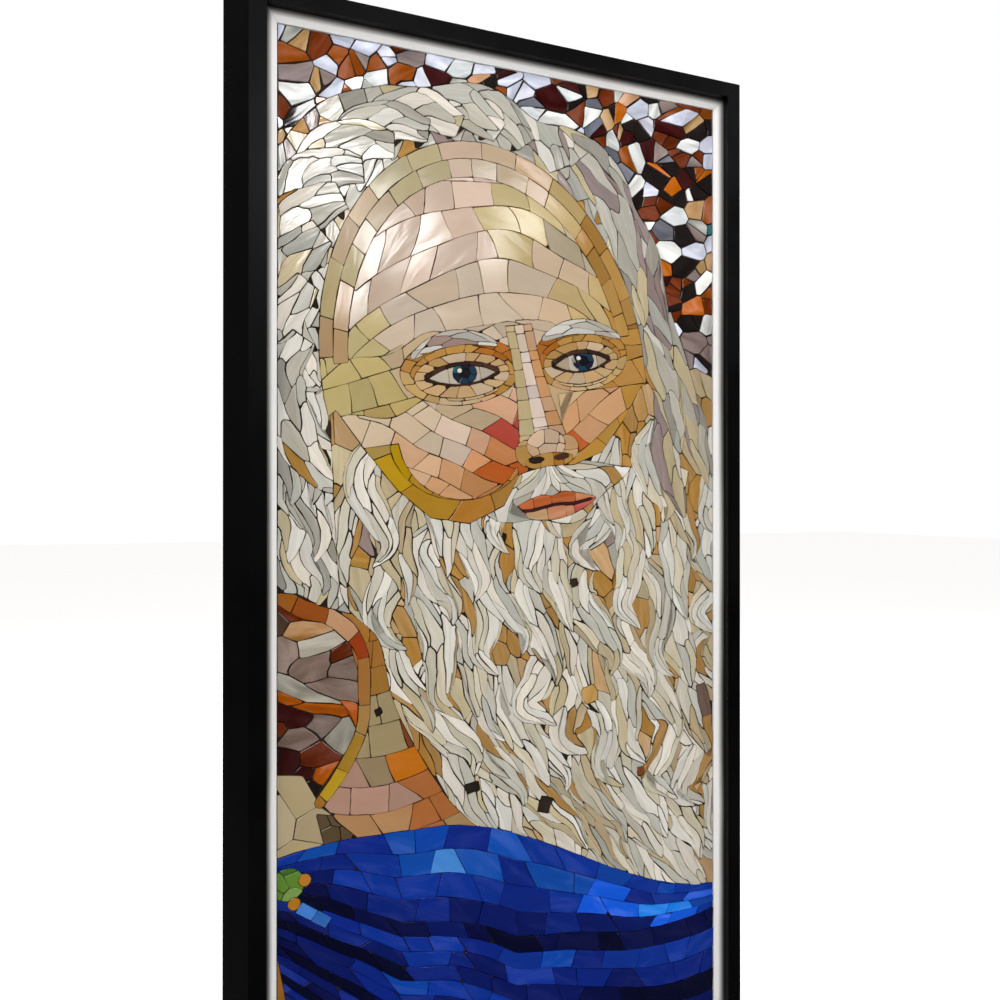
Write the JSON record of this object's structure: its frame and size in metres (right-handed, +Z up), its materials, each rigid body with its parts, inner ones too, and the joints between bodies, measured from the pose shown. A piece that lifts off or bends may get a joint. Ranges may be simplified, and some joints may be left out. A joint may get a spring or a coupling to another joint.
{
  "type": "mosaic panel",
  "caption": "Tall framed wall mosaic of opaque cut glass showing a bearded elder in a blue robe, with a white slip and a black frame that slopes back to the wall.",
  "frame": {"origin": "centre of the flat back, on the wall", "axes": "+Z up along the panel's height, +X to the viewer's right, -Y out of the wall towards the viewer"},
  "size_m": [0.72, 0.045, 1.42],
  "materials": {
    "frame_black": "satin black lacquer",
    "slip_white": "white painted wood, a little greyer towards the frame",
    "backing_board": "plain plywood, unpainted",
    "grout": "dark brown cement grout and mortar between and under the glass",
    "brooch_glass": "glossy opaque green glass with gold beads",
    "lining_glass": "glossy opaque orange-brown glass, dark grout",
    "robe_glass": "glossy opaque ultramarine, navy and azure glass, dark grout",
    "beard_glass": "glossy opaque white, grey and cream glass, dark grout",
    "skin_glass": "glossy opaque beige, pink and ochre glass, dark grout",
    "hair_glass": "glossy opaque white and grey glass, dark grout",
    "tunic_glass": "glossy opaque khaki and brown glass, dark grout",
    "background_glass": "glossy opaque rust, orange, brown, white and lavender glass, dark grout"
  },
  "bodies": {
    "root": {"frame_top": "frame_black", "frame_right": "frame_black", "frame_bottom": "frame_black", "frame_left": "frame_black", "slip_top": "slip_white", "slip_right": "slip_white", "slip_bottom": "slip_white", "slip_left": "slip_white", "backing_board": "backing_board", "brooch_glass": "brooch_glass", "lining_glass": "lining_glass", "robe_glass": "robe_glass", "beard_glass": "beard_glass", "face_glass": "skin_glass", "hair_glass": "hair_glass", "neck_glass": "skin_glass", "tunic_glass": "tunic_glass", "upper_ground_glass": "background_glass", "lower_ground_glass": "background_glass"}
  },
  "joints": []
}
